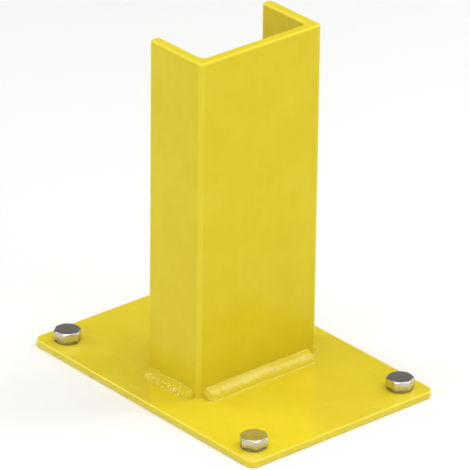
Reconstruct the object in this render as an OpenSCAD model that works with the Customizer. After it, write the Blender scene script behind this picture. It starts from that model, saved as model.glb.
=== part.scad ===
// Steel post guard: a channel of bent plate, welded upright on a base plate that four sleeve anchors
// hold to the floor. All sizes are in millimetres. The origin is the centre of the base plate's
// underside, so the floor is the plane Z = 0. The web faces -Y and the channel opens towards +Y.

/* [Guard post] */
// Height of the guard above the floor
guard_h = 305; // [250:1:600]
// Width of the channel across its flanges
post_w = 127; // [100:1:155]
// Depth of the channel, from the web's face to the flange ends
post_depth = 64; // [50:1:110]
// Thickness of the channel's plate
wall_t = 9.5; // [6:0.5:13]
// Outside radius of the two bends
bend_r_out = 4; // [2:0.5:8]
// Inside radius of the two bends
bend_r_in = 5; // [3:0.5:12]

/* [Base plate] */
// Width of the plate, along X
plate_w = 197; // [180:1:260]
// Length of the plate, along Y
plate_l = 280; // [220:1:380]
// Thickness of the plate
plate_t = 6.4; // [5:0.1:12]
// Radius of the plate's corners
plate_corner_r = 8; // [2:0.5:16]

/* [Welds] */
// How far the weld under the web reaches up the web
web_weld_up = 9; // [5:0.5:14]
// How far the weld under the web reaches out over the plate
web_weld_out = 11; // [5:0.5:14]
// How far the weld under each flange reaches up the flange
flange_weld_up = 6.5; // [4:0.5:12]
// How far the weld under each flange reaches out over the plate
flange_weld_out = 9; // [4:0.5:12]
// How far each weld's face bulges beyond a flat bevel
weld_bulge = 0.8; // [0.3:0.1:1.2]
// Distance from the channel's bent corners to the ends of the welds
weld_end_gap = 1; // [0.5:0.5:6]

/* [Anchors] */
// Distance from the plate's long sides to the anchors
anchor_inset_x = 20; // [18:0.5:30]
// Distance from the plate's short sides to the anchors
anchor_inset_y = 21; // [18:0.5:30]
// Nominal diameter of the anchor bolts
bolt_d = 12; // [10:1:13]
// Hexagon of the bolt heads, across its flats
head_af = 21; // [17:0.5:24]
// Height of the bolt heads
head_h = 8; // [6:0.5:10]
// Outside diameter of the washers
washer_od = 21.5; // [20:0.5:32]
// Thickness of the washers
washer_t = 2; // [1.5:0.1:3]
// Wall of the expansion sleeves
sleeve_wall = 1.6; // [1.2:0.1:2]
// Depth of the anchors below the floor
anchor_depth = 58; // [50:1:90]

/* [Hidden] */
$fn = 64;

// Anchors, counted from the front left corner towards the front right
CORNER = [[-1, -1], [1, -1], [1, 1], [-1, 1]];
// Where each head's hexagon stopped when its bolt was tightened, in degrees
HEAD_TURN = [58, 27, 12, 39];

// Clearances on the radius
shank_gap = 0.4;      // shank inside the sleeve
washer_gap = 0.5;     // shank inside the washer
hole_gap = 0.5;       // sleeve inside the plate's hole
thread_gap = 0.05;    // thread inside the cone nut
cone_gap = 0.1;       // cone nut inside the spread end of the sleeve
over = 1;             // how far a cutting shape runs past the solid that it cuts

// Bolt
bolt_r = bolt_d / 2;
head_z = plate_t + washer_t;
head_chamfer = 30;    // slope of the head's chamfer, in degrees
head_top_r = head_af / 2 - 0.5; // flat top inside the head's chamfer
tip_chamfer = 1;
tip_recess = 1;       // the bolt stops this far inside the cone nut's end

// Sleeve, spread at its lower end by the cone nut
sleeve_ir = bolt_r + shank_gap;
sleeve_or = sleeve_ir + sleeve_wall;
sleeve_top_gap = 0.2; // below the plate's top, so that the washer seats on the plate
spread_len = 14;
cone_inside = 6;      // length of the cone nut's taper inside the sleeve
cone_outside = 8;     // length of the taper below the sleeve
cone_foot = 6;        // straight foot of the cone nut, below the taper
sleeve_end_z = cone_outside + cone_foot - anchor_depth;
spread = 1;
spread_slope = spread / spread_len;
slot_w = 2;
slot_len = 20;

// Cone nut
cone_end_r = sleeve_ir + spread - cone_gap;

hole_r = sleeve_or + hole_gap;
web_y = -post_depth / 2;
weld_end_r = 0.8;      // rounding of a weld's ends in plan, as a share of its reach

module place_anchor(i) {
    x = CORNER[i][0] * (plate_w / 2 - anchor_inset_x);
    y = CORNER[i][1] * (plate_l / 2 - anchor_inset_y);
    translate([x, y, 0]) children();
}

// Flat outline of the plate
module plate_outline() {
    cx = plate_w / 2 - plate_corner_r;
    cy = plate_l / 2 - plate_corner_r;
    square([plate_w, 2 * cy], center = true);
    square([2 * cx, plate_l], center = true);
    for (corner = CORNER) {
        translate([corner[0] * cx, corner[1] * cy]) circle(plate_corner_r);
    }
}

// Rectangle w wide that starts at Y = 0, with its two front corners rounded
module bent_outline(w, depth, r) {
    translate([r - w / 2, 0]) square([w - 2 * r, depth]);
    translate([-w / 2, r]) square([w, depth - r]);
    for (side = [-1, 1]) {
        translate([side * (w / 2 - r), r]) circle(r);
    }
}

module base_plate() {
    color("gold")
    difference() {
        linear_extrude(plate_t) plate_outline();
        for (i = [0:3]) {
            place_anchor(i) translate([0, 0, -over]) cylinder(r = hole_r, h = plate_t + 2 * over);
        }
    }
}

module guard_post() {
    color("gold")
    translate([0, web_y, plate_t])
    linear_extrude(guard_h - plate_t)
    difference() {
        bent_outline(post_w, post_depth, bend_r_out);
        translate([0, wall_t]) bent_outline(post_w - 2 * wall_t, post_depth, bend_r_in);
    }
}

// Section of a weld: legs out along X and up along Y, with a rounded face between their ends
module weld_section(out, up) {
    chord = sqrt(out * out + up * up);
    r = (chord * chord / 4 + weld_bulge * weld_bulge) / (2 * weld_bulge);
    back = (r - weld_bulge) / chord;
    intersection() {
        square([2 * out, 2 * up]);
        translate([out / 2 - back * up, up / 2 - back * out]) circle(r, $fn = 180);
    }
}

// Outline of a weld in plan: its back runs along X, and its two front corners are rounded
module weld_plan(len, reach, r) {
    translate([-len / 2, r - reach]) square([len, reach]);
    translate([r - len / 2, -reach]) square([len - 2 * r, reach]);
    for (side = [-1, 1]) {
        translate([side * (len / 2 - r), r - reach]) circle(r);
    }
}

// Weld along X, centred on the origin, that reaches out towards -Y
module weld_bead(len, out, up) {
    intersection() {
        rotate([90, 0, -90])
        translate([0, 0, -len / 2 - over])
        linear_extrude(len + 2 * over) weld_section(out, up);
        translate([0, 0, -over])
        linear_extrude(up + 2 * over) weld_plan(len, out + over, weld_end_r * out);
    }
}

module weld_web() {
    len = post_w - 2 * (bend_r_out + weld_end_gap);
    color("gold") translate([0, web_y, plate_t]) weld_bead(len, web_weld_out, web_weld_up);
}

// side is -1 for the left flange and 1 for the right one
module weld_flange(side) {
    len = post_depth - bend_r_out - weld_end_gap;
    y = (bend_r_out + weld_end_gap) / 2;
    color("gold")
    translate([side * post_w / 2, y, plate_t])
    rotate([0, 0, side * 90])
    weld_bead(len, flange_weld_out, flange_weld_up);
}

// Hexagon head with its top corners chamfered, on a plain shank
module anchor_bolt(i) {
    corner_r = head_af / 2 / cos(30);
    tip_z = tip_recess - anchor_depth;
    color("silver") place_anchor(i) {
        translate([0, 0, head_z])
        intersection() {
            rotate([0, 0, HEAD_TURN[i]]) cylinder(r = corner_r, h = head_h, $fn = 6);
            cylinder(r1 = head_top_r + head_h / tan(head_chamfer), r2 = head_top_r, h = head_h);
        }
        translate([0, 0, tip_z + tip_chamfer])
        cylinder(r = bolt_r, h = head_z + over - tip_z - tip_chamfer);
        translate([0, 0, tip_z])
        cylinder(r1 = bolt_r - tip_chamfer, r2 = bolt_r, h = tip_chamfer);
    }
}

module washer(i) {
    color("lightgray") place_anchor(i)
    translate([0, 0, plate_t])
    difference() {
        cylinder(d = washer_od, h = washer_t);
        translate([0, 0, -over]) cylinder(r = bolt_r + washer_gap, h = washer_t + 2 * over);
    }
}

// Thin tube whose slotted lower end is spread in the floor
module sleeve(i) {
    top_z = plate_t - sleeve_top_gap;
    spread_z = sleeve_end_z + spread_len;
    color("darkgray") place_anchor(i)
    difference() {
        rotate_extrude()
        polygon([
            [sleeve_ir, top_z],
            [sleeve_or, top_z],
            [sleeve_or, spread_z],
            [sleeve_or + spread, sleeve_end_z],
            [sleeve_ir + spread, sleeve_end_z],
            [sleeve_ir, spread_z]
        ]);
        for (turn = [0, 90]) {
            rotate([0, 0, turn])
            translate([-2 * sleeve_or, -slot_w / 2, sleeve_end_z - over])
            cube([4 * sleeve_or, slot_w, slot_len + over]);
        }
    }
}

// Nut that tapers upwards into the sleeve
module cone_nut(i) {
    color("gray") place_anchor(i)
    rotate_extrude()
    polygon([
        [bolt_r + thread_gap, -anchor_depth],
        [cone_end_r + cone_outside * spread_slope, -anchor_depth],
        [cone_end_r + cone_outside * spread_slope, sleeve_end_z - cone_outside],
        [cone_end_r - cone_inside * spread_slope, sleeve_end_z + cone_inside],
        [bolt_r + thread_gap, sleeve_end_z + cone_inside]
    ]);
}

base_plate();
guard_post();
weld_web();
weld_flange(-1);  // weld_left_flange
weld_flange(1);  // weld_right_flange
anchor_bolt(0);  // anchor_bolt_front_left
anchor_bolt(1);  // anchor_bolt_front_right
anchor_bolt(2);  // anchor_bolt_rear_right
anchor_bolt(3);  // anchor_bolt_rear_left
washer(0);  // washer_front_left
washer(1);  // washer_front_right
washer(2);  // washer_rear_right
washer(3);  // washer_rear_left
sleeve(0);  // sleeve_front_left
sleeve(1);  // sleeve_front_right
sleeve(2);  // sleeve_rear_right
sleeve(3);  // sleeve_rear_left
cone_nut(0);  // cone_nut_front_left
cone_nut(1);  // cone_nut_front_right
cone_nut(2);  // cone_nut_rear_right
cone_nut(3);  // cone_nut_rear_left
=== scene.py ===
import math

import bpy
from bpy.props import FloatProperty, FloatVectorProperty, PointerProperty
from mathutils import Matrix, Vector, noise
from mathutils.geometry import delaunay_2d_cdt


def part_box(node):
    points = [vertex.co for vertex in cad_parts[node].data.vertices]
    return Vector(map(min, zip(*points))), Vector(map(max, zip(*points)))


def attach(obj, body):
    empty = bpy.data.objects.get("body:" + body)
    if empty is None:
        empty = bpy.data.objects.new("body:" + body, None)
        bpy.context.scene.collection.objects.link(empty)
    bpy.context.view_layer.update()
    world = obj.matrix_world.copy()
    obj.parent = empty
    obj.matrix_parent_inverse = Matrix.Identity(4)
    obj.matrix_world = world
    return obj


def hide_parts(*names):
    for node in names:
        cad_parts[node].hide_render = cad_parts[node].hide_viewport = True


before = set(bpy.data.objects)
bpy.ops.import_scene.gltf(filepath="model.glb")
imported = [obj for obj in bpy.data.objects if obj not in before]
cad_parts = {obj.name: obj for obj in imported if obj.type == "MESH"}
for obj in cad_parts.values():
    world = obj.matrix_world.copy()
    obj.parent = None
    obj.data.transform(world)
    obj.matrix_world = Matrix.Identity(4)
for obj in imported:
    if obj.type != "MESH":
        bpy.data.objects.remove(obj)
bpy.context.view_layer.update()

bl_info = {
    "name": "Steel Post Guard",
    "version": (1, 0, 0),
    "blender": (4, 5, 0),
    "location": "3D View > Sidebar > Post Guard",
    "description": "Builds a painted steel post guard with its welds and floor anchors",
    "category": "Object",
}

MM = 0.001
EDGE_MARK = "edge"
# Rings of mesh in one pitch of a thread
THREAD_STEPS = 12
# Where across the first slot a sleeve's open seam starts
SEAM_SHARE = -0.25
QUARTER_TURN = math.pi / 2
FULL_TURN = 2 * math.pi
CORNERS = ("front_left", "front_right", "rear_right", "rear_left")
# Where each head's hexagon stopped when its bolt was tightened, in degrees
HEAD_TURN = {"front_left": 58, "front_right": 27, "rear_right": 12, "rear_left": 39}


# Half of the studio floor's side
FLOOR_HALF = 6.0
MIDDLE = (0, 0, 0.12)
# Each light's setting, place, the point that it faces, its width and its height
LIGHTS = (
    ("key", (1.3, -0.65, 1.75), MIDDLE, 0.7, 0.7),
    ("front", (0.0, -1.5, 2.2), MIDDLE, 1.4, 1.0),
    ("corner", (-1.05, -1.2, 0.7), MIDDLE, 0.7, 0.7),
    ("foot", (0.1, -0.9, 0.4), (0, -0.05, 0.05), 0.6, 0.4),
    ("left", (-2.2, -0.2, 0.8), MIDDLE, 1.2, 1.0),
    ("right", (2.2, -0.2, 1.2), MIDDLE, 1.2, 1.0),
    ("rear", (-1.1, 1.8, 1.6), MIDDLE, 0.7, 0.7),
    ("top", (0.0, -0.1, 4.0), MIDDLE, 3.8, 3.8),
)


# ---- sizes and colours

def length(name, description, millimetres):
    return FloatProperty(
        name=name, description=description, default=millimetres * MM, unit="LENGTH", precision=5)


def colour(name, description, default):
    return FloatVectorProperty(
        name=name, description=description, default=default, size=3, subtype="COLOR", min=0, max=1)


def angle_of(name, description, degrees):
    return FloatProperty(
        name=name, description=description, default=math.radians(degrees), subtype="ANGLE")


def watts(name, description, default):
    return FloatProperty(name=name, description=description, default=default, unit="POWER")


class GuardSizes(bpy.types.PropertyGroup):
    """Sizes of the channel and the base plate that their outer boxes don't give"""
    wall: length("Wall", "Thickness of the channel's wall", 9.5)
    bend_outside: length("Outside bend", "Outside radius of the channel's two bends", 4)
    bend_inside: length("Inside bend", "Inside radius of the channel's two bends", 5)
    flange_round: length("Flange end rounding", "Rounding of the flange ends' upright edges", 2.6)
    rim_round: length("Rim rounding", "Rounding of the channel's top edges", 1.8)
    plate_corner: length("Plate corner", "Radius of the base plate's corners", 8)
    plate_round: length("Plate edge rounding", "Rounding of the base plate's edges", 1.2)
    hole_radius: length("Hole radius", "Radius of the holes in the base plate", 8.5)
    paint_pool: length("Paint pool", "Fillet of paint round the channel's foot", 1.2)
    waviness: length("Waviness", "How far the rolled faces stray from flat", 0.04)


class WeldSizes(bpy.types.PropertyGroup):
    """Sizes of the three weld beads"""
    web_up: length("Web weld up", "How far the web's weld reaches up the web", 9)
    web_out: length("Web weld out", "How far the web's weld reaches over the plate", 11)
    flange_up: length("Flange weld up", "How far a flange's weld reaches up the flange", 6.5)
    flange_out: length("Flange weld out", "How far a flange's weld reaches over the plate", 9)
    bulge: length("Bulge", "How far a weld's face stands beyond a flat bevel", 0.8)
    toe: length("Toe", "How softly a bead's toes run out into the steel", 0.3)
    ripple_pitch: length("Ripple pitch", "Distance between the ripples of a weld", 3.1)
    ripple_height: length("Ripple height", "Height of the ripples under the paint", 0.045)
    lump_pitch: length("Lump pitch", "Distance between the lumps of a flange's weld", 13)


class AnchorSizes(bpy.types.PropertyGroup):
    """Sizes of the sleeve anchors that their outer boxes don't give"""
    across_flats: length("Across flats", "Hexagon of a bolt's head across its flats", 21)
    bolt_radius: length("Bolt radius", "Radius of a bolt's shank and thread", 6)
    thread_pitch: length("Thread pitch", "Rise of the thread in one turn", 1.75)
    thread_length: length("Thread length", "Length of the thread from a bolt's tip", 34)
    washer_bore: length("Washer bore", "Radius of a washer's hole", 6.5)
    sleeve_bore: length("Sleeve bore", "Inside radius of a sleeve above its spread end", 6.4)
    sleeve_wall: length("Sleeve wall", "Thickness of a sleeve", 1.6)
    spread: length("Spread", "How far a sleeve's lower end is spread on the radius", 1)
    spread_length: length("Spread length", "Length of a sleeve's spread end", 14)
    slot_width: length("Slot width", "Width of the slots in a sleeve's spread end", 2)
    slot_length: length("Slot length", "Length of the slots in a sleeve's spread end", 20)
    cone_flat: length("Cone foot", "Height of a cone nut's straight foot", 6)


class GuardFinishes(bpy.types.PropertyGroup):
    """Colours of the paint, the zinc and the floor"""
    paint: colour("Paint", "Safety yellow enamel", (0.79, 0.632, 0.024))
    paint_deep: colour("Thick paint", "Enamel where it lies thicker", (0.745, 0.582, 0.016))
    # Painted highlight: a paler, brighter yellow for the rounded edges, standing in for the light line
    # they catch
    paint_edge: colour("Painted edge highlight", "Paler enamel painted on rounded edges as a highlight", (0.90, 0.79, 0.075))
    paint_pale: colour("Thin paint", "Enamel where it lies thinner", (0.82, 0.680, 0.040))
    zinc: colour("Zinc", "Bright zinc plate on bolts and washers", (0.66, 0.64, 0.60))
    # Painted shade: a dark zinc for the washers so that they read as the shade under the bolts' heads
    zinc_worn: colour("Zinc painted as shade", "Darker zinc on the washers", (0.30, 0.28, 0.24))
    zinc_warm: colour("Zinc tint", "Warm tint of the plate's passivation", (0.52, 0.44, 0.28))
    zinc_dull: colour("Dull zinc", "Zinc on the sleeves and cone nuts", (0.40, 0.41, 0.42))
    floor: colour("Floor", "Plain pale floor", (0.95, 0.95, 0.945))


class StageSettings(bpy.types.PropertyGroup):
    """The camera, and how bright each studio light is"""
    azimuth: angle_of("Azimuth", "Direction that the camera stands in, from the front", -40.723)
    elevation: angle_of("Elevation", "Height of the camera above the object, as an angle", 26.237)
    roll: angle_of("Roll", "Turn of the camera about its own line of sight", 0.714)
    distance: length("Distance", "From the camera to the point that it looks at", 4172.8)
    look_at: FloatVectorProperty(
        name="Look at", description="Point that the camera looks at",
        default=(-0.00293, -0.00479, 0.127), size=3, subtype="XYZ", unit="LENGTH")
    lens: FloatProperty(
        name="Lens", description="Focal length on a 36 mm sensor", default=393.5, unit="CAMERA")
    key: watts("Key", "Soft light at the front right", 8.2)
    front: watts("Front", "Soft light high in front", 3)
    corner: watts("Corner", "Soft light facing the post's near corner", 2.6)
    foot: watts("Foot", "Small soft light low in front", 1.5)
    left: watts("Left", "Soft light on the left", 10.5)
    right: watts("Right", "Soft light on the right", 8.5)
    rear: watts("Rear", "Soft light high at the rear left", 12)
    top: watts("Top", "Wide soft light overhead", 129)
    ambient: FloatProperty(
        name="Ambient", description="Even light from the studio's walls", default=0.04)
    mirrored: FloatProperty(
        name="Mirrored walls", description="Brightness of the studio's walls in reflections", default=0.16)


# ---- mesh building

def add_object(name, data):
    made = bpy.data.objects.new(name, data)
    bpy.context.scene.collection.objects.link(made)
    return made


class Shell:
    """The vertices and faces of a closed surface, gathered ring by ring"""

    def __init__(self):
        self.vertices = []
        self.faces = []

    def ring(self, points):
        first = len(self.vertices)
        self.vertices.extend(Vector(point) for point in points)
        return range(first, len(self.vertices))

    def band(self, lower, upper):
        """Joins two rings, seen counterclockwise from above, with faces that look outwards"""
        count = len(lower)
        for i in range(count):
            after = (i + 1) % count
            self.faces.append((lower[i], lower[after], upper[after], upper[i]))

    def tube(self, rings):
        for lower, upper in zip(rings, rings[1:]):
            self.band(lower, upper)

    def point(self, ring, centre, facing_up):
        """Closes a ring with a fan of triangles"""
        tip = self.ring([centre])[0]
        count = len(ring)
        for i in range(count):
            after = (i + 1) % count
            self.faces.append((ring[i], ring[after], tip) if facing_up else (ring[after], ring[i], tip))

    def flat(self, rings, facing_up, spacing=0.0, height=None):
        """Fills the region inside the first ring and outside the others with even triangles"""
        ids = [index for ring in rings for index in ring]
        flat_points = [self.vertices[index].xy / MM for index in ids]
        loops = []
        edges = []
        first = 0
        for ring in rings:
            count = len(ring)
            loops.append(flat_points[first:first + count])
            edges.extend((first + i, first + (i + 1) % count) for i in range(count))
            first += count
        level = self.vertices[ids[0]].z
        if spacing:
            for point in grid_inside(loops, spacing / MM):
                z = height(point * MM) if height else 0
                ids.append(self.ring([(point.x * MM, point.y * MM, level + z)])[0])
                flat_points.append(point)
        every_triangle = 0
        merge_below = 1e-4
        found = delaunay_2d_cdt(flat_points, edges, [], every_triangle, merge_below, True)
        places, triangles, sources = found[0], found[2], found[3]
        for triangle in triangles:
            middle = (places[triangle[0]] + places[triangle[1]] + places[triangle[2]]) / 3
            if not is_inside(middle, loops):
                continue
            corners = [ids[sources[corner][0]] for corner in triangle]
            self.faces.append(corners if facing_up else corners[::-1])

    def piece(self, name, smooth=True):
        mesh = bpy.data.meshes.new(name)
        mesh.from_pydata(self.vertices, [], self.faces)
        mesh.polygons.foreach_set("use_smooth", [smooth] * len(mesh.polygons))
        mesh.validate()
        return add_object(name, mesh)


def is_inside(point, loops):
    """Even-odd test against all of the loops together"""
    inside = False
    for loop in loops:
        before = loop[-1]
        for corner in loop:
            if (corner.y > point.y) != (before.y > point.y):
                share = (point.y - corner.y) / (before.y - corner.y)
                if point.x < corner.x + share * (before.x - corner.x):
                    inside = not inside
            before = corner
    return inside


def grid_inside(loops, spacing):
    """Points on a grid inside the loops that keep clear of the loops themselves"""
    nearest = 0.55
    clear = (nearest * spacing) ** 2
    border = [corner for loop in loops for corner in loop]
    low = Vector((min(corner.x for corner in border), min(corner.y for corner in border)))
    high = Vector((max(corner.x for corner in border), max(corner.y for corner in border)))
    columns = int((high.x - low.x) / spacing)
    rows = int((high.y - low.y) / spacing)
    points = []
    for i in range(columns + 1):
        for j in range(rows + 1):
            shift = (j % 2) / 2
            point = low + Vector(((i + shift) * spacing, j * spacing))
            if not is_inside(point, loops):
                continue
            if min((point - corner).length_squared for corner in border) > clear:
                points.append(point)
    return points


def rounded_outline(corners, radii, spacing, arc_steps, near=0.4 * MM):
    """Points and outward normals along a closed outline, counterclockwise, with rounded corners"""
    count = len(corners)
    arcs = []
    for i, radius in enumerate(radii):
        corner = Vector(corners[i])
        back = (Vector(corners[i - 1]) - corner).normalized()
        ahead = (Vector(corners[(i + 1) % count]) - corner).normalized()
        half = back.angle(ahead) / 2
        centre = corner + (back + ahead).normalized() * radius / math.sin(half)
        reach = radius / math.tan(half)
        outer = 1 if (-back).cross(ahead) > 0 else -1
        start = corner + back * reach - centre
        swing = outer * (math.pi - 2 * half)
        arc = []
        for step in range(arc_steps + 1):
            spoke = Matrix.Rotation(swing * step / arc_steps, 2) @ start
            arc.append((centre + spoke, spoke.normalized() * outer))
        arcs.append(arc)
    outline = []
    for i, arc in enumerate(arcs):
        outline.extend(arc)
        start = arc[-1][0]
        run = arcs[(i + 1) % count][0][0] - start
        normal = Vector((run.y, -run.x)).normalized()
        for share in straight_shares(run.length, spacing, near):
            outline.append((start + run * share, normal))
    return outline


def straight_shares(run, spacing, near):
    """Places along a straight run, with one close to each of its ends to keep the shading flat"""
    if run < 4 * near:
        return []
    inner = run - 2 * near
    steps = max(1, math.ceil(inner / spacing))
    return [(near + inner * step / steps) / run for step in range(steps + 1)]


def rounding(radius, steps):
    """Pairs of inward offset and remaining height, from the upright face over a rounded edge"""
    pairs = []
    for step in range(steps + 1):
        angle = math.pi / 2 * step / steps
        pairs.append((radius * (1 - math.cos(angle)), radius * (1 - math.sin(angle))))
    return pairs


def rounded_levels(low, high, radius, steps, near, between=()):
    """Pairs of inward offset and height, up a face whose lower and upper edges are rounded"""
    pairs = rounding(radius, steps)
    levels = [(radius + near, low)]
    levels += [(inset, low + drop) for inset, drop in reversed(pairs)]
    levels += [(0, z) for z in between]
    levels += [(inset, high - drop) for inset, drop in pairs]
    return levels + [(radius + near, high)]


def even_steps(low, high, spacing):
    """Evenly spread numbers from low to high, at most spacing apart"""
    steps = max(1, math.ceil((high - low) / spacing))
    return [low + (high - low) * step / steps for step in range(steps + 1)]


def circle_points(radius, z, count, centre=(0, 0)):
    """Points round a level circle, counterclockwise from above"""
    points = []
    for i in range(count):
        angle = FULL_TURN * i / count
        points.append((centre[0] + radius * math.cos(angle), centre[1] + radius * math.sin(angle), z))
    return points


def polar(radius, angle, z):
    return (radius * math.cos(angle), radius * math.sin(angle), z)


def smooth_step(low, high, value):
    """0 at low and beyond, 1 at high and beyond, smooth in between; low may be the larger"""
    share = min(1.0, max(0.0, (value - low) / (high - low)))
    return share * share * (3 - 2 * share)


def wave(point, size, seed=0.0):
    """Smooth noise from 0 to 1 with features of the given size"""
    place = Vector(point) / size
    return 0.5 + 0.5 * noise.noise(place + Vector((seed, 2 * seed, -seed)))


# ---- materials

class Value:
    """A number that varies over a surface; arithmetic on it adds Math nodes"""

    def __init__(self, finish, socket):
        self.finish = finish
        self.socket = socket

    def math(self, operation, *terms):
        return self.finish.value("ShaderNodeMath", {"operation": operation}, dict(enumerate(terms)), 0)

    def __add__(self, other):
        return self.math("ADD", self, other)

    def __radd__(self, other):
        return self.math("ADD", other, self)

    def __sub__(self, other):
        return self.math("SUBTRACT", self, other)

    def __rsub__(self, other):
        return self.math("SUBTRACT", other, self)

    def __mul__(self, other):
        return self.math("MULTIPLY", self, other)

    def __rmul__(self, other):
        return self.math("MULTIPLY", other, self)

    def between(self, low, high):
        """0 below low, 1 above high, and smooth in between"""
        return self.finish.value(
            "ShaderNodeMapRange", {"interpolation_type": "SMOOTHSTEP"},
            {"Value": self, "From Min": low, "From Max": high}, "Result")


def socket_of(value):
    return value.socket if isinstance(value, Value) else value


class Finish:
    """A procedural material around one Principled shader"""

    def __init__(self, name, **constants):
        self.material = bpy.data.materials.new(name)
        self.material.use_nodes = True
        self.tree = self.material.node_tree
        self.tree.nodes.clear()
        self.shader = self.node("ShaderNodeBsdfPrincipled", {}, {})
        output = self.node("ShaderNodeOutputMaterial", {}, {"Surface": self.shader.outputs[0]})
        output.is_active_output = True
        for key, value in constants.items():
            self.shader.inputs[key.replace("_", " ")].default_value = value
        self.place = self.node("ShaderNodeTexCoord", {}, {}).outputs["Object"]

    def node(self, kind, settings, inputs):
        """Adds a node: first its settings, then the values or links of its sockets"""
        made = self.tree.nodes.new(kind)
        for key, value in settings.items():
            setattr(made, key, value)
        for key, value in inputs.items():
            source = socket_of(value)
            if isinstance(source, bpy.types.NodeSocket):
                self.tree.links.new(source, made.inputs[key])
            else:
                made.inputs[key].default_value = source
        return made

    def value(self, kind, settings, inputs, output):
        """Adds a node and gives one of its outputs as a number to calculate with"""
        return Value(self, self.node(kind, settings, inputs).outputs[output])

    def scaled_place(self, factors):
        return self.node(
            "ShaderNodeVectorMath", {"operation": "MULTIPLY"}, {0: self.place, 1: factors}).outputs[0]

    def feed(self, **links):
        """Links what varies over the surface to the shader's sockets"""
        for key, value in links.items():
            self.tree.links.new(socket_of(value), self.shader.inputs[key.replace("_", " ")])

    def speckle(self, size, detail=2.0, stretch=(1, 1, 1), shift=None, roughness=0.5):
        """Noise from 0 to 1 whose features measure size, longer where stretch is above 1"""
        mapped = self.scaled_place(tuple(1 / (size * factor) for factor in stretch))
        inputs = {"Vector": mapped, "Scale": 1.0, "Detail": detail, "Roughness": roughness}
        settings = {"noise_dimensions": "3D"}
        if shift is not None:
            settings = {"noise_dimensions": "4D"}
            inputs["W"] = shift
        return self.value("ShaderNodeTexNoise", settings, inputs, "Fac")

    def piece_number(self):
        """A number of its own for each piece, so that like pieces don't share their stains"""
        return self.value("ShaderNodeObjectInfo", {}, {}, "Random")

    def axis_distance(self):
        """Distance from the piece's upright axis"""
        flat = self.scaled_place((1, 1, 0))
        return self.value("ShaderNodeVectorMath", {"operation": "LENGTH"}, {0: flat}, "Value")

    def part_of_place(self, axis):
        """One coordinate of the place on the piece"""
        return self.value("ShaderNodeSeparateXYZ", {}, {0: self.place}, axis)

    def blend(self, factor, first, second):
        """A colour between two colours"""
        inputs = {0: factor, 6: as_colour(first), 7: as_colour(second)}
        return self.node("ShaderNodeMix", {"data_type": "RGBA"}, inputs).outputs[2]

    def relief(self, height, depth, under=None):
        """A normal for a height from 0 to 1 that stands for depth in metres"""
        inputs = {"Height": height, "Distance": depth, "Strength": 1.0}
        if under is not None:
            inputs["Normal"] = under
        return self.node("ShaderNodeBump", {}, inputs).outputs[0]


def as_colour(value):
    if isinstance(value, bpy.types.NodeSocket):
        return value
    return (value[0], value[1], value[2], 1.0)


def enamel(name, colours, streaks, peel_size, peel_depth, gloss, clearness):
    """Sprayed enamel: soft mottle, faint runs down the faces, orange peel and a painted highlight on
    rounded edges
    """
    finish = Finish(
        name, IOR=1.5, Coat_Roughness=gloss, Coat_IOR=clearness, Specular_IOR_Level=0.04)
    mottle = finish.speckle(38 * MM, detail=3)
    runs = finish.speckle(7 * MM, detail=2, stretch=streaks)
    grain = finish.speckle(0.9 * MM, detail=2)
    thick = (mottle * 0.8 + runs * 0.2).between(0.42, 0.72)
    thin = (mottle * 0.75 + runs * 0.25).between(0.34, 0.52)
    most_thick, most_thin, most_grain = 0.45, 0.35, 0.16
    tone = finish.blend(thick * most_thick, colours.paint, colours.paint_deep)
    tone = finish.blend((1 - thin) * most_thin, tone, colours.paint_pale)
    tone = finish.blend(grain.between(0.62, 0.8) * most_grain, tone, colours.paint_deep)
    # Painted highlight: the rounded edges get the paler edge yellow so that they read as lit
    edge = finish.value("ShaderNodeAttribute", {"attribute_name": EDGE_MARK}, {}, "Fac")
    edge_highlight_share = edge * (0.95 - 0.3 * mottle)
    tone = finish.blend(edge_highlight_share, tone, colours.paint_edge)
    smear = finish.speckle(22 * MM, detail=4, roughness=0.6)
    peel = finish.speckle(peel_size, detail=1)
    wash = finish.speckle(6 * peel_size, detail=1)
    normal = finish.relief(peel, peel_depth)
    normal = finish.relief(wash, 3 * peel_depth, under=normal)
    smoothest = 0.2
    full_coat = 0.95
    finish.feed(
        Base_Color=tone,
        Roughness=smear * 0.12 + smoothest + grain * 0.03,
        Coat_Weight=full_coat - 0.35 * smear.between(0.5, 0.85),
        Normal=normal)
    return finish.material


def zinc_plate(name, bright, tint, roughness, lathe_pitch, lathe_depth, stain):
    """Electroplated zinc: turning marks about the axis, warm passivation and dull stains"""
    finish = Finish(name, Specular_IOR_Level=0.5)
    stain_shift = finish.piece_number() * 9
    radius = finish.axis_distance()
    up = finish.part_of_place("Z")
    cloud = finish.speckle(5 * MM, detail=4, shift=stain_shift)
    crystals = finish.speckle(0.5 * MM, detail=3, shift=stain_shift + 3)
    wander = cloud * 0.4
    marks = finish.value(
        "ShaderNodeTexNoise", {"noise_dimensions": "1D"},
        {"W": (radius + up * 0.7) * (1 / lathe_pitch) + wander, "Scale": 1.0, "Detail": 2.0}, "Fac")
    tone = finish.blend(cloud.between(0.42, 0.74) * stain, bright, tint)
    grey_crystals = (0.34, 0.33, 0.31)
    tone = finish.blend(crystals.between(0.35, 0.7) * 0.18, tone, grey_crystals)
    normal = finish.relief(marks, lathe_depth)
    normal = finish.relief(crystals, 0.5 * lathe_depth, under=normal)
    finish.shader.inputs["Metallic"].default_value = 1.0
    finish.feed(
        Base_Color=tone,
        Roughness=cloud * 0.16 + marks * 0.08 + (roughness - 0.1),
        Normal=normal)
    return finish.material


def pale_floor(name, base):
    """Matt studio floor with a barely visible grain"""
    finish = Finish(name, Specular_IOR_Level=0.25)
    grain = finish.speckle(3 * MM, detail=3)
    cloud = finish.speckle(400 * MM, detail=2)
    slightly_darker = tuple(level * 0.97 for level in base)
    finish.feed(
        Base_Color=finish.blend(grain * 0.4 + cloud * 0.6, slightly_darker, base),
        Roughness=grain * 0.1 + 0.75)
    return finish.material


# ---- pieces

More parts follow.
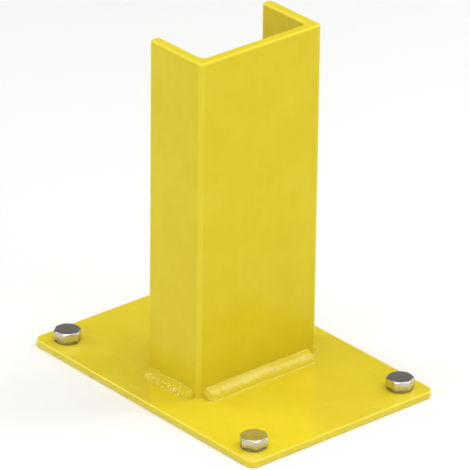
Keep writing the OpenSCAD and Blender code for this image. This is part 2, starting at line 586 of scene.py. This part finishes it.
def mark_edges(piece):
    """Stores in each vertex how far it stands on an outward edge: 0 on a flat, 1 on a rounding"""
    mesh = piece.data
    turned = [0.0] * len(mesh.vertices)
    for face in mesh.polygons:
        for index in face.vertices:
            vertex = mesh.vertices[index]
            if (face.center - vertex.co).dot(vertex.normal) < 0:
                turned[index] = max(turned[index], vertex.normal.angle(face.normal, 0.0))
    lowest = math.radians(3)
    highest = math.radians(9)
    edge = mesh.attributes.new(EDGE_MARK, "FLOAT", "POINT")
    edge.data.foreach_set("value", [smooth_step(lowest, highest, angle) for angle in turned])


def finish_piece(piece, material, node, body):
    """Gives a piece its material and its place in the frame"""
    piece.data.materials.append(material)
    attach(piece, body)
    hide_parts(node)


def anchor_centre(corner):
    """Where an anchor's upright axis meets the floor"""
    low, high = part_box("washer_" + corner)
    middle = (low + high) / 2
    return Vector((middle.x, middle.y, 0))


def set_down(piece, corner, turn=0.0):
    """Puts a piece that was built on the upright axis at its anchor"""
    piece.matrix_world = Matrix.Translation(anchor_centre(corner)) @ Matrix.Rotation(turn, 4, "Z")


def wavy_rings(shell, outline, levels, depth, size, seed, squeeze=0.0):
    """Rings up a rolled face that strays a little from flat, less often upwards than along"""
    rings = []
    for inset, z in levels:
        ring = []
        for point, normal in outline:
            stray = depth * wave((point.x, point.y, z * squeeze), size, seed)
            spot = point - normal * (inset + stray)
            ring.append((spot.x, spot.y, z))
        rings.append(shell.ring(ring))
    return rings


def build_base_plate(sizes):
    """Rectangular plate with rounded corners and edges, and a hole for each anchor"""
    low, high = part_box("base_plate")
    shell = Shell()
    near = 0.5 * MM
    side_spacing, corner_steps, edge_steps = 7 * MM, 10, 5
    wave_size, wave_seed = 0.05, 3
    outline = rounded_outline(
        [(low.x, low.y), (high.x, low.y), (high.x, high.y), (low.x, high.y)],
        [sizes.plate_corner] * 4, side_spacing, corner_steps)
    half_way = [(low.z + high.z) / 2]
    levels = rounded_levels(low.z, high.z, sizes.plate_round, edge_steps, near, half_way)
    rings = wavy_rings(shell, outline, levels, sizes.waviness, wave_size, wave_seed)
    shell.tube(rings)
    rim = 0.35 * MM
    rim_steps, hole_sides = 3, 48
    tops = [rings[-1]]
    bottoms = [rings[0]]
    for corner in CORNERS:
        centre = anchor_centre(corner)
        hole = [
            shell.ring(circle_points(sizes.hole_radius + inset, z, hole_sides, centre))
            for inset, z in rounded_levels(low.z, high.z, rim, rim_steps, near)]
        shell.tube(hole[::-1])
        tops.append(hole[-1])
        bottoms.append(hole[0])
    sag_size, sag_seed = 0.045, 11

    def sag(point):
        return -2 * sizes.waviness * wave((point.x, point.y, 0), sag_size, sag_seed)

    top_spacing, bottom_spacing = 6 * MM, 14 * MM
    shell.flat(tops, True, top_spacing, sag)
    shell.flat(bottoms, False, bottom_spacing)
    plate = shell.piece("base_plate_steel")
    mark_edges(plate)
    return plate


def build_guard_post(sizes):
    """Channel with rolled bends and a rounded rim, and a fillet of paint round its foot"""
    low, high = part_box("guard_post")
    shell = Shell()
    wall = sizes.wall
    tip = sizes.flange_round
    outside = sizes.bend_outside
    inside = sizes.bend_inside
    corners = [
        (low.x, low.y), (high.x, low.y), (high.x, high.y), (high.x - wall, high.y),
        (high.x - wall, low.y + wall), (low.x + wall, low.y + wall),
        (low.x + wall, high.y), (low.x, high.y)]
    radii = [outside, outside, tip, tip, inside, inside, tip, tip]
    side_spacing, corner_steps = 5 * MM, 8
    outline = rounded_outline(corners, radii, side_spacing, corner_steps)
    edge = sizes.rim_round
    near = 0.3 * MM
    pool = sizes.paint_pool
    sunk = 0.1 * MM
    pool_steps, rim_steps, row_spacing = 4, 6, 6 * MM
    wave_size, wave_seed, wave_squeeze = 0.04, 5, 0.6
    levels = [(-pool, low.z - sunk)]
    levels += [(-drop, low.z + inset) for inset, drop in rounding(pool, pool_steps)]
    levels += [(0, z) for z in even_steps(low.z + pool + near, high.z - edge - near, row_spacing)]
    levels += [(inset, high.z - drop) for inset, drop in rounding(edge, rim_steps)]
    levels += [(edge + near, high.z)]
    rings = wavy_rings(
        shell, outline, levels, sizes.waviness * 2, wave_size, wave_seed, wave_squeeze)
    shell.tube(rings)
    shell.flat([rings[-1]], True)
    shell.flat([rings[0]], False)
    post = shell.piece("guard_post_steel")
    mark_edges(post)
    return post


def run_out(height, soft):
    """A height that runs out smoothly to nothing where it would pass below zero"""
    return soft * math.log1p(math.exp(height / soft))


def build_weld(name, start, end, outwards, out, up, welds, lumpy, seed):
    """A fillet weld from start to end along the foot of a face that looks outwards"""
    shell = Shell()
    along = (end - start).normalized()
    total = (end - start).length
    across = 20
    overrun = 0.06
    root = 0.4 * MM
    station_spacing = 0.6 * MM
    nose = 0.5 * out
    nose_power, nose_least = 2.2, 0.02
    bevel = 0.94
    drift_size, rock_size, lump_size = 17 * MM, 11 * MM, 3.6 * MM
    grain_size, knob_size = 2.2 * MM, 4.0 * MM
    grain_depth, knob_depth = 0.12 * MM, 0.9 * MM
    normal = Vector((up, out)).normalized()
    rings = []
    for station in even_steps(0, total, station_spacing):
        from_end = min(station, total - station)
        share = max(0.0, 1 - from_end / nose)
        closing = max(nose_least, math.sqrt(max(0.0, 1 - share ** nose_power)))

        # How the bead swells and narrows on its way
        drift = wave((station, 0, 0), drift_size, seed)
        lump = 0.5 + 0.5 * math.cos(FULL_TURN * (station / welds.lump_pitch + 0.9 * drift) + seed)
        lump = 0.5 * lump + 0.8 * (wave((station, 0, 0), lump_size, seed + 2) - 0.2)
        swell = 1 + 0.07 * (drift - 0.5) * 2 + lumpy * 0.14 * (lump - 0.5)
        rock = wave((station, 0, 0), rock_size, seed + 4) - 0.5
        climb = 1 + 0.08 * rock * 2 + lumpy * 0.12 * (lump - 0.5)
        reach_out = bevel * out * closing * swell
        reach_up = bevel * up * closing * climb

        # The face of the bead, from its upper toe over the crown to its lower toe
        soft = welds.toe * closing
        points = []
        for step in range(across + 1):
            share = (1 + 2 * overrun) * step / across - overrun
            crown = max(0.0, 4 * share * (1 - share))
            curl = (2 * share - 1) ** 2 * 1.6 * MM
            beat = (station + curl + 0.9 * MM * drift) / welds.ripple_pitch
            ripple = math.sin(math.pi * beat) ** 2 - 0.5
            rise = crown * (welds.bulge * (1 + lumpy * 0.5 * (lump - 0.4)) * closing
                            + welds.ripple_height * ripple * (1 + 0.6 * lumpy) * closing)
            place = (station, share * 9 * MM, 0)
            grain = (wave(place, grain_size, seed + 9) - 0.5) * grain_depth * crown
            grain += (wave(place, knob_size, seed + 5) - 0.5) * knob_depth * crown * lumpy * closing
            flat_out = reach_out * share + (rise + grain) * normal.x
            flat_up = reach_up * (1 - share) + (rise + grain) * normal.y
            points.append((run_out(flat_out, soft), run_out(flat_up, soft)))
        points.append((points[-1][0], -root))
        points.append((-root, -root))
        points.append((-root, points[0][1]))
        rings.append(shell.ring(
            start + along * station + outwards * flat_out + Vector((0, 0, flat_up))
            for flat_out, flat_up in points))
    for before, after in zip(rings, rings[1:]):
        shell.band(after, before)
    shell.faces.append(tuple(rings[0]))
    shell.faces.append(tuple(rings[-1])[::-1])
    if along.cross(Vector((0, 0, 1))).dot(outwards) > 0:
        # This bead was laid the other way round, so its faces are turned to look outwards
        shell.faces = [face[::-1] for face in shell.faces]
    return shell.piece(name)


def thread_depth(share, pitch):
    """Depth below the crest of a rounded 60 degree thread, at a share of its pitch"""
    flank = abs(2 * share - 1)
    deepest = 0.61 * pitch
    crest, root = 0.06, 0.94
    return deepest * smooth_step(crest, root, 1 - flank)


def thread_share(angle, z, pitch):
    """How far through one pitch of the thread a point is, from 0 to 1"""
    return (z / pitch - angle / FULL_TURN) % 1.0


def build_bolt(node, turn, sizes):
    """Hexagon head with a washer face and a 30 degree chamfer, plain neck, and a real thread"""
    low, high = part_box(node)
    shell = Shell()
    head_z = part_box(node.replace("anchor_bolt", "washer"))[1].z
    top_z = high.z
    tip_z = low.z
    flat_half = sizes.across_flats / 2
    corner_radius = flat_half / math.cos(math.pi / 6)
    corners = [polar(corner_radius, math.pi / 3 * i, 0)[:2] for i in range(6)]
    corner_round, side_spacing, near = 0.7 * MM, 2.0 * MM, 0.25 * MM
    corner_steps = 4
    rounded = rounded_outline(corners, [corner_round] * 6, side_spacing, corner_steps, near)
    outline = [point for point, normal in rounded]
    angles = [math.atan2(point.y, point.x) for point in outline]
    pitch = sizes.thread_pitch
    shank = sizes.bolt_radius
    thread_top = tip_z + sizes.thread_length
    chamfer = 1.1 * MM

    def round_ring(radius, z):
        return shell.ring(polar(radius, angle, z) for angle in angles)

    def hexagon_ring(share, z_of):
        points = []
        for point in outline:
            spot = point * share
            points.append((spot.x, spot.y, z_of(spot.length)))
        return shell.ring(points)

    # From the tip up the thread
    tip_centre, tip_soft = 2.0 * MM, 0.35 * MM
    thread_step = pitch / THREAD_STEPS
    thread_end = thread_top - 1.6 * pitch
    rings = [round_ring(tip_centre, tip_z), round_ring(shank - chamfer - tip_soft, tip_z)]
    z = tip_z
    while z < thread_top:
        fade = smooth_step(thread_top, thread_end, z)
        points = []
        for angle in angles:
            share = thread_share(angle + turn, z, pitch)
            radius = shank - fade * thread_depth(share, pitch)
            radius = min(radius, shank - chamfer + (z - tip_z))
            points.append(polar(radius, angle, z))
        rings.append(shell.ring(points))
        z += thread_step

    # The plain neck, the washer face and the head's soft lower edge
    neck = 0.5 * MM
    neck_steps, neck_spacing = 3, 3 * MM
    plain = even_steps(thread_top + thread_step, head_z - neck, neck_spacing)
    rings += [round_ring(shank, z) for z in plain]
    rings += [round_ring(shank + inset, head_z - drop) for inset, drop in rounding(neck, neck_steps)[1:]]
    face = 0.35 * MM
    face_radius = flat_half - 0.4 * MM
    for inset, rise in ((0.2, 0), (0, 0.12), (0, 0.35)):
        rings.append(round_ring(face_radius - inset * MM, head_z + rise * MM))
    under = head_z + face
    for share, rise in ((0.965, 0), (0.990, 0.06), (1.0, 0.35)):
        rings.append(hexagon_ring(share, lambda radius: under + rise * MM))

    # The head's sides and its chamfer
    flat_top = flat_half - 0.5 * MM
    slope = math.tan(math.pi / 6)

    def chamfer_z(radius):
        return top_z - max(0.0, radius - flat_top) * slope

    for drop in (3.0, 1.2, 0.5, 0.12):
        rings.append(hexagon_ring(1.0, lambda radius: chamfer_z(radius) - drop * MM))
    rings.append(hexagon_ring(0.991, lambda radius: chamfer_z(radius) - 0.015 * MM))
    for share in (0.35, 0.8):
        ring = []
        for point in outline:
            radius = point.length * (1 - share) * 0.985 + (flat_top + 0.1 * MM) * share
            spot = point.normalized() * radius
            ring.append((spot.x, spot.y, chamfer_z(radius)))
        rings.append(shell.ring(ring))

    # The flat top with its shallow dish
    dish = 0.18 * MM
    for inset, drop in ((0.25, 0.01), (1.0, 0.03)):
        rings.append(round_ring(flat_top - inset * MM, top_z - drop * MM))
    for share in (0.82, 0.74, 0.5, 0.2):
        rings.append(round_ring(flat_top * share, top_z - dish * smooth_step(0.88, 0.7, share)))
    shell.tube(rings)
    shell.point(rings[0], (0, 0, tip_z), False)
    shell.point(rings[-1], (0, 0, top_z - dish), True)
    return shell.piece(node + "_steel")


def build_washer(node, sizes):
    """Punched washer: its upper edges are drawn round and its lower edges are nearly sharp"""
    low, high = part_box(node)
    shell = Shell()
    outer = (high.x - low.x) / 2
    inner = sizes.washer_bore
    soft = 0.5 * MM
    crisp = 0.12 * MM
    near = 0.3 * MM
    sides = 72
    profile = [(inner + crisp + near, low.z), (outer - crisp - near, low.z)]
    profile += [(outer - inset, low.z + drop) for inset, drop in reversed(rounding(crisp, 2))]
    profile += [(outer - inset, high.z - drop) for inset, drop in rounding(soft, 5)]
    profile += [(outer - soft - near, high.z), (inner + soft + near, high.z)]
    profile += [(inner + inset, high.z - drop) for inset, drop in reversed(rounding(soft, 4))]
    profile += [(inner + inset, low.z + drop) for inset, drop in rounding(crisp, 2)]
    rings = [shell.ring(circle_points(radius, z, sides)) for radius, z in profile]
    shell.tube(rings + rings[:1])
    return shell.piece(node + "_steel")


def sleeve_columns(radius, slot_width):
    """Angles of the columns of a sleeve's mesh, and the number of the slot that each starts in"""
    half = math.asin(slot_width / 2 / radius)
    wall_steps = 9
    columns = []
    for quarter in range(4):
        centre = quarter * QUARTER_TURN
        for share in (-1, -0.6, SEAM_SHARE, 0.25, 0.6):
            columns.append((centre + share * half, quarter, share))
        wide = QUARTER_TURN - 2 * half
        for step in range(wall_steps):
            columns.append((centre + half + wide * step / wall_steps, None, None))
    return columns


def build_sleeve(node, sizes):
    """Rolled sleeve with an open seam and four slots that let its lower end spread"""
    low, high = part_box(node)
    middle = sizes.sleeve_bore + sizes.sleeve_wall / 2
    columns = sleeve_columns(middle, sizes.slot_width)
    slot_top = low.z + sizes.slot_length
    spread_top = low.z + sizes.spread_length
    round_z = slot_top - sizes.slot_width / 2
    slot_spacing, wall_spacing, arch_fade = 2 * MM, 2.5 * MM, 9 * MM
    rows = even_steps(low.z, round_z, slot_spacing)
    split = len(rows) - 1
    rows += even_steps(round_z, high.z, wall_spacing)[1:]
    shell = Shell()
    grid = []
    for z in rows:
        ring = []
        for angle, slot, share in columns:
            level = z
            if slot is not None and z >= round_z:
                arch = sizes.slot_width / 2 * math.sqrt(max(0.0, 1 - share * share))
                level = z + arch * max(0.0, 1 - (z - round_z) / arch_fade)
            radius = middle + sizes.spread * max(0.0, (spread_top - z) / sizes.spread_length)
            ring.append(polar(radius, angle, level))
        grid.append(shell.ring(ring))
    count = len(columns)
    for row in range(len(rows) - 1):
        for i in range(count):
            slot, share = columns[i][1:]
            after = (i + 1) % count
            if slot is not None and row < split:
                continue
            if slot == 0 and share == SEAM_SHARE:
                continue
            lower, upper = grid[row], grid[row + 1]
            shell.faces.append((lower[i], lower[after], upper[after], upper[i]))
    piece = shell.piece(node + "_steel")
    skin = piece.modifiers.new("Wall", "SOLIDIFY")
    skin.thickness = sizes.sleeve_wall
    skin.offset = 0
    skin.use_even_offset = True
    soften = piece.modifiers.new("Soft edges", "BEVEL")
    soften.limit_method = "ANGLE"
    soften.angle_limit = math.radians(50)
    soften.width = 0.18 * MM
    soften.segments = 2
    bake_modifiers(piece)
    piece.data.polygons.foreach_set("use_smooth", [True] * len(piece.data.polygons))
    piece.data.set_sharp_from_angle(angle=math.radians(40))
    return piece


def bake_modifiers(piece):
    """Puts the mesh that a piece's modifiers make in place of its own"""
    bpy.context.view_layer.update()
    made = bpy.data.meshes.new_from_object(piece.evaluated_get(bpy.context.evaluated_depsgraph_get()))
    made.name = piece.name
    piece.modifiers.clear()
    old = piece.data
    piece.data = made
    bpy.data.meshes.remove(old)


def build_cone_nut(node, sizes):
    """Cone with an inner thread, and four ribs that sit in the sleeve's slots"""
    low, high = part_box(node)
    shell = Shell()
    foot_radius = (high.x - low.x) / 2
    shoulder_z = low.z + sizes.cone_flat
    slope = sizes.spread / sizes.spread_length
    top_radius = foot_radius - (high.z - shoulder_z) * slope
    rib_share, rib_height = 0.34, 0.9 * MM
    rib_half = math.asin(rib_share * sizes.slot_width / foot_radius)
    pitch = sizes.thread_pitch
    wall_steps = 11
    angles = []
    for quarter in range(4):
        centre = quarter * QUARTER_TURN
        angles += [centre + share * rib_half for share in (-1, -0.7, 0, 0.7, 1)]
        wide = QUARTER_TURN - 2 * rib_half
        angles += [centre + rib_half + wide * step / wall_steps for step in range(1, wall_steps)]

    def rib(angle, z):
        nearest = (angle + QUARTER_TURN / 2) % QUARTER_TURN - QUARTER_TURN / 2
        side = smooth_step(1.02, 0.68, abs(nearest) / rib_half)
        rise = smooth_step(shoulder_z + 0.4 * MM, shoulder_z + 2 * MM, z)
        return rib_height * side * rise * smooth_step(high.z, high.z - 1.5 * MM, z)

    edge = 0.3 * MM
    profile = [(foot_radius - edge, low.z), (foot_radius, low.z + edge), (foot_radius, shoulder_z)]
    cone_spacing = 1 * MM
    for z in even_steps(shoulder_z, high.z - edge, cone_spacing)[1:]:
        profile.append((foot_radius - (z - shoulder_z) * slope, z))
    profile.append((top_radius - edge, high.z))
    rings = [
        shell.ring(polar(radius + rib(angle, z), angle, z) for angle in angles)
        for radius, z in profile]
    clearance = 0.09 * MM
    opening = sizes.bolt_radius + clearance
    mouth = 0.25 * MM
    for z in reversed(even_steps(low.z, high.z, pitch / THREAD_STEPS)):
        end = min(z - low.z, high.z - z)
        fade = smooth_step(0, mouth, end)
        ring = []
        for angle in angles:
            radius = opening - fade * thread_depth(thread_share(angle, z, pitch), pitch)
            ring.append(polar(radius, angle, z))
        rings.append(shell.ring(ring))
    shell.tube(rings + rings[:1])
    return shell.piece(node + "_steel")


# ---- operators

class GUARD_OT_base_plate(bpy.types.Operator):
    """Builds the painted base plate with its rounded edges and four holes"""
    bl_idname = "guard.base_plate"
    bl_label = "Base Plate"

    def execute(self, context):
        scene = context.scene
        paint = enamel(
            "enamel on rolled plate", scene.guard_finishes, streaks=(1, 4, 1),
            peel_size=2.6 * MM, peel_depth=0.010 * MM, gloss=0.08, clearness=1.4)
        finish_piece(build_base_plate(scene.guard_sizes), paint, "base_plate", "guard")
        return {"FINISHED"}


class GUARD_OT_guard_post(bpy.types.Operator):
    """Builds the painted channel that stands on the plate"""
    bl_idname = "guard.guard_post"
    bl_label = "Guard Post"

    def execute(self, context):
        scene = context.scene
        paint = enamel(
            "enamel on channel", scene.guard_finishes, streaks=(1, 1, 12),
            peel_size=2.4 * MM, peel_depth=0.012 * MM, gloss=0.16, clearness=1.16)
        finish_piece(build_guard_post(scene.guard_sizes), paint, "guard_post", "guard")
        return {"FINISHED"}


class GUARD_OT_welds(bpy.types.Operator):
    """Lays the weld beads along the web and the two flanges"""
    bl_idname = "guard.welds"
    bl_label = "Welds"

    def execute(self, context):
        scene = context.scene
        welds = scene.guard_welds
        paint = enamel(
            "enamel on welds", scene.guard_finishes, streaks=(1, 1, 1),
            peel_size=1.6 * MM, peel_depth=0.02 * MM, gloss=0.17, clearness=1.34)
        post_low, post_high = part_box("guard_post")
        foot = post_low.z
        low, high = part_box("weld_web")
        web = build_weld(
            "weld_web_bead", Vector((low.x, post_low.y, foot)), Vector((high.x, post_low.y, foot)),
            Vector((0, -1, 0)), welds.web_out, welds.web_up, welds, lumpy=0.25, seed=1.7)
        finish_piece(web, paint, "weld_web", "guard")
        sides = (("left", post_low.x, -1, 1.0, 6.1), ("right", post_high.x, 1, 0.6, 8.3))
        for side, face, facing, lumpy, seed in sides:
            node = "weld_" + side + "_flange"
            low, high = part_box(node)
            bead = build_weld(
                node + "_bead", Vector((face, low.y, foot)), Vector((face, high.y, foot)),
                Vector((facing, 0, 0)), welds.flange_out, welds.flange_up, welds, lumpy, seed)
            finish_piece(bead, paint, node, "guard")
        return {"FINISHED"}


def build_at_anchors(scene, stem, build, plated, body):
    """Builds a like piece for each of the four anchors and sets it down there"""
    for corner in CORNERS:
        node = stem + corner
        piece = build(node, scene.guard_anchors)
        set_down(piece, corner)
        finish_piece(piece, plated, node, body.format(corner))


class GUARD_OT_bolts(bpy.types.Operator):
    """Builds the four hexagon bolts, each with its thread"""
    bl_idname = "guard.bolts"
    bl_label = "Anchor Bolts"

    def execute(self, context):
        scene = context.scene
        colours = scene.guard_finishes
        plated = zinc_plate(
            "zinc plate on bolts", colours.zinc, colours.zinc_warm, roughness=0.3,
            lathe_pitch=0.35 * MM, lathe_depth=0.003 * MM, stain=0.7)
        for corner in CORNERS:
            node = "anchor_bolt_" + corner
            turn = math.radians(HEAD_TURN[corner])
            bolt = build_bolt(node, turn, scene.guard_anchors)
            set_down(bolt, corner, turn)
            finish_piece(bolt, plated, node, "bolt_" + corner)
        return {"FINISHED"}


class GUARD_OT_washers(bpy.types.Operator):
    """Builds the punched washer under each bolt's head"""
    bl_idname = "guard.washers"
    bl_label = "Washers"

    def execute(self, context):
        scene = context.scene
        colours = scene.guard_finishes
        # Painted shade: the washers take the dark zinc to stand for the shade under the heads
        plated = zinc_plate(
            "zinc plate on washers", colours.zinc_worn, colours.zinc_warm, roughness=0.42,
            lathe_pitch=0.6 * MM, lathe_depth=0.006 * MM, stain=0.7)
        build_at_anchors(scene, "washer_", build_washer, plated, "washer_{}")
        return {"FINISHED"}


class GUARD_OT_sleeves(bpy.types.Operator):
    """Rolls the slotted sleeve of each anchor"""
    bl_idname = "guard.sleeves"
    bl_label = "Sleeves"

    def execute(self, context):
        scene = context.scene
        colours = scene.guard_finishes
        plated = zinc_plate(
            "dull zinc on sleeves", colours.zinc_dull, colours.zinc_warm, roughness=0.42,
            lathe_pitch=1.2 * MM, lathe_depth=0.01 * MM, stain=0.35)
        build_at_anchors(scene, "sleeve_", build_sleeve, plated, "guard")
        return {"FINISHED"}


class GUARD_OT_cone_nuts(bpy.types.Operator):
    """Turns the cone nut at the end of each anchor"""
    bl_idname = "guard.cone_nuts"
    bl_label = "Cone Nuts"

    def execute(self, context):
        scene = context.scene
        colours = scene.guard_finishes
        plated = zinc_plate(
            "dull zinc on cone nuts", colours.zinc_dull, colours.zinc_warm, roughness=0.38,
            lathe_pitch=0.4 * MM, lathe_depth=0.008 * MM, stain=0.3)
        build_at_anchors(scene, "cone_nut_", build_cone_nut, plated, "guard")
        return {"FINISHED"}


def soft_light(name, place, target, width, height, power):
    data = bpy.data.lights.new(name, "AREA")
    data.shape = "RECTANGLE"
    data.size = width
    data.size_y = height
    data.energy = power
    lamp = add_object(name, data)
    lamp.location = place
    lamp.rotation_euler = (Vector(target) - Vector(place)).to_track_quat("-Z", "Y").to_euler()
    lamp.visible_camera = False


def add_background(tree, strength):
    background = tree.nodes.new("ShaderNodeBackground")
    background.inputs["Color"].default_value = (1, 1, 1, 1)
    background.inputs["Strength"].default_value = strength
    return background


def build_world(ambient, mirrored):
    """White to the camera, dim in mirror reflections, and an even room light for the rest"""
    world = bpy.data.worlds.new("studio")
    bpy.context.scene.world = world
    world.use_nodes = True
    tree = world.node_tree
    tree.nodes.clear()
    path = tree.nodes.new("ShaderNodeLightPath")
    shown = add_background(tree, ambient)
    for ray, strength in (("Is Glossy Ray", mirrored), ("Is Camera Ray", 1.0)):
        either = tree.nodes.new("ShaderNodeMixShader")
        tree.links.new(path.outputs[ray], either.inputs[0])
        tree.links.new(shown.outputs[0], either.inputs[1])
        tree.links.new(add_background(tree, strength).outputs[0], either.inputs[2])
        shown = either
    output = tree.nodes.new("ShaderNodeOutputWorld")
    tree.links.new(shown.outputs[0], output.inputs["Surface"])


def build_camera(stage):
    data = bpy.data.cameras.new("camera")
    data.lens = stage.lens
    data.sensor_width = 36
    data.clip_end = 50
    camera = add_object("camera", data)
    flat = math.cos(stage.elevation)
    back = Vector((
        math.sin(stage.azimuth) * flat, -math.cos(stage.azimuth) * flat, math.sin(stage.elevation)))
    right = (-back).cross(Vector((0, 0, 1))).normalized()
    up = right.cross(-back)
    side = right * math.cos(stage.roll) + up * math.sin(stage.roll)
    top = up * math.cos(stage.roll) - right * math.sin(stage.roll)
    turned = Matrix((side, top, back)).transposed().to_4x4()
    camera.matrix_world = Matrix.Translation(Vector(stage.look_at) + back * stage.distance) @ turned
    bpy.context.scene.camera = camera


class GUARD_OT_stage(bpy.types.Operator):
    """Sets up the pale floor, the soft studio lights and the camera"""
    bl_idname = "guard.stage"
    bl_label = "Stage"

    def execute(self, context):
        scene = context.scene
        stage = scene.guard_stage
        shell = Shell()
        half = FLOOR_HALF
        shell.faces.append(tuple(shell.ring(
            [(-half, -half, 0), (half, -half, 0), (half, half, 0), (-half, half, 0)])))
        floor = shell.piece("floor", smooth=False)
        floor.data.materials.append(pale_floor("pale studio floor", scene.guard_finishes.floor))
        for key, place, target, width, height in LIGHTS:
            soft_light(key + " softbox", place, target, width, height, getattr(stage, key))
        build_world(stage.ambient, stage.mirrored)
        build_camera(stage)
        scene.view_settings.view_transform = "Standard"
        return {"FINISHED"}


class GUARD_PT_panel(bpy.types.Panel):
    """Lists the pieces of the post guard and its stage"""
    bl_idname = "GUARD_PT_panel"
    bl_label = "Post Guard"
    bl_space_type = "VIEW_3D"
    bl_region_type = "UI"
    bl_category = "Post Guard"

    def draw(self, context):
        column = self.layout.column()
        for operator in OPERATORS:
            column.operator(operator.bl_idname)
        for group in GROUPS:
            settings = getattr(context.scene, group)
            box = column.box()
            for key in settings.__annotations__:
                box.prop(settings, key)


OPERATORS = (
    GUARD_OT_base_plate, GUARD_OT_guard_post, GUARD_OT_welds, GUARD_OT_bolts,
    GUARD_OT_washers, GUARD_OT_sleeves, GUARD_OT_cone_nuts, GUARD_OT_stage)
GROUPS = {
    "guard_sizes": GuardSizes,
    "guard_welds": WeldSizes,
    "guard_anchors": AnchorSizes,
    "guard_finishes": GuardFinishes,
    "guard_stage": StageSettings,
}


def register():
    for group in GROUPS.values():
        bpy.utils.register_class(group)
    for operator in OPERATORS:
        bpy.utils.register_class(operator)
    bpy.utils.register_class(GUARD_PT_panel)
    for key, group in GROUPS.items():
        setattr(bpy.types.Scene, key, PointerProperty(type=group))


def unregister():
    for key in GROUPS:
        delattr(bpy.types.Scene, key)
    bpy.utils.unregister_class(GUARD_PT_panel)
    for operator in reversed(OPERATORS):
        bpy.utils.unregister_class(operator)
    for group in reversed(list(GROUPS.values())):
        bpy.utils.unregister_class(group)


def main():
    register()
    bpy.ops.guard.base_plate()
    bpy.ops.guard.guard_post()
    bpy.ops.guard.welds()
    bpy.ops.guard.bolts()
    bpy.ops.guard.washers()
    bpy.ops.guard.sleeves()
    bpy.ops.guard.cone_nuts()
    bpy.ops.guard.stage()


if __name__ == "__main__":
    main()
